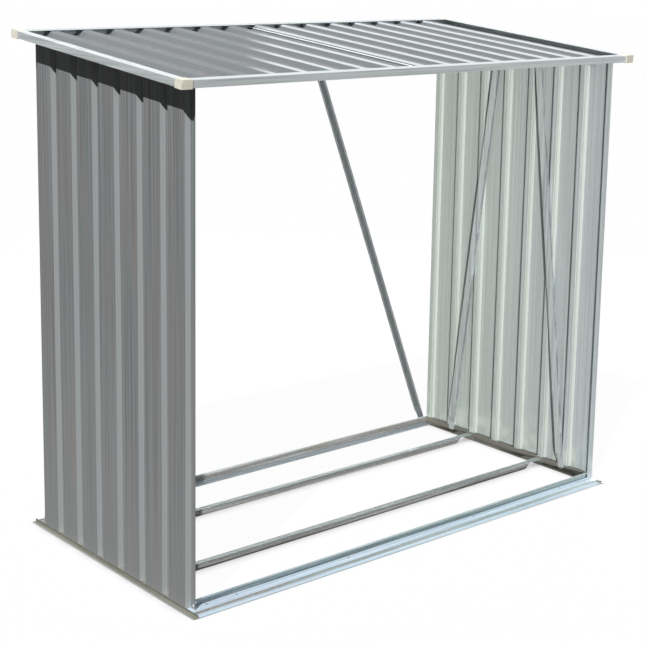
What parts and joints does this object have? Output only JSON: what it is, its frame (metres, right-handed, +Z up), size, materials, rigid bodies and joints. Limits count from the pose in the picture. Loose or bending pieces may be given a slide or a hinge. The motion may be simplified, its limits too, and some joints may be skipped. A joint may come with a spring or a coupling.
{
  "type": "log store",
  "caption": "Open-fronted galvanised steel log store: ribbed side walls and a ribbed sloping roof on a low base frame, with a diagonal brace across the open back.",
  "frame": {"origin": "middle of the footprint, on the ground, at the underside of the base rails", "axes": "+X along the width, -Y towards the open front, +Z up"},
  "size_m": [1.72, 0.85, 1.487],
  "materials": {
    "wall_sheet_steel": "galvanised sheet, grey outside and bare zinc inside, satin",
    "roof_sheet_steel": "galvanised sheet, satin",
    "channel_steel": "bright galvanised, satin",
    "base_rail_steel": "bright galvanised, satin",
    "brace_steel": "bright galvanised, satin",
    "cap_plastic": "cream moulded plastic, matt"
  },
  "bodies": {
    "root": {"back_brace": "brace_steel", "base_rail_front": "base_rail_steel", "base_rail_left": "base_rail_steel", "base_rail_rear": "base_rail_steel", "base_rail_right": "base_rail_steel", "floor_bar_front": "brace_steel", "floor_bar_rear": "brace_steel", "left_wall_brace_front": "brace_steel", "left_wall_brace_rear": "brace_steel", "left_wall_sheet_front": "wall_sheet_steel", "left_wall_sheet_rear": "wall_sheet_steel", "left_wall_top_angle": "brace_steel", "right_wall_brace_front": "brace_steel", "right_wall_brace_rear": "brace_steel", "right_wall_sheet_front": "wall_sheet_steel", "right_wall_sheet_rear": "wall_sheet_steel", "right_wall_top_angle": "brace_steel", "roof_cap_front_left": "cap_plastic", "roof_cap_front_right": "cap_plastic", "roof_cap_rear_left": "cap_plastic", "roof_cap_rear_right": "cap_plastic", "roof_channel_front": "channel_steel", "roof_channel_left": "channel_steel", "roof_channel_rear_left": "channel_steel", "roof_channel_rear_right": "channel_steel", "roof_channel_right": "channel_steel", "roof_channel_splice": "channel_steel", "roof_sheet_left": "roof_sheet_steel", "roof_sheet_right": "roof_sheet_steel"}
  },
  "joints": []
}
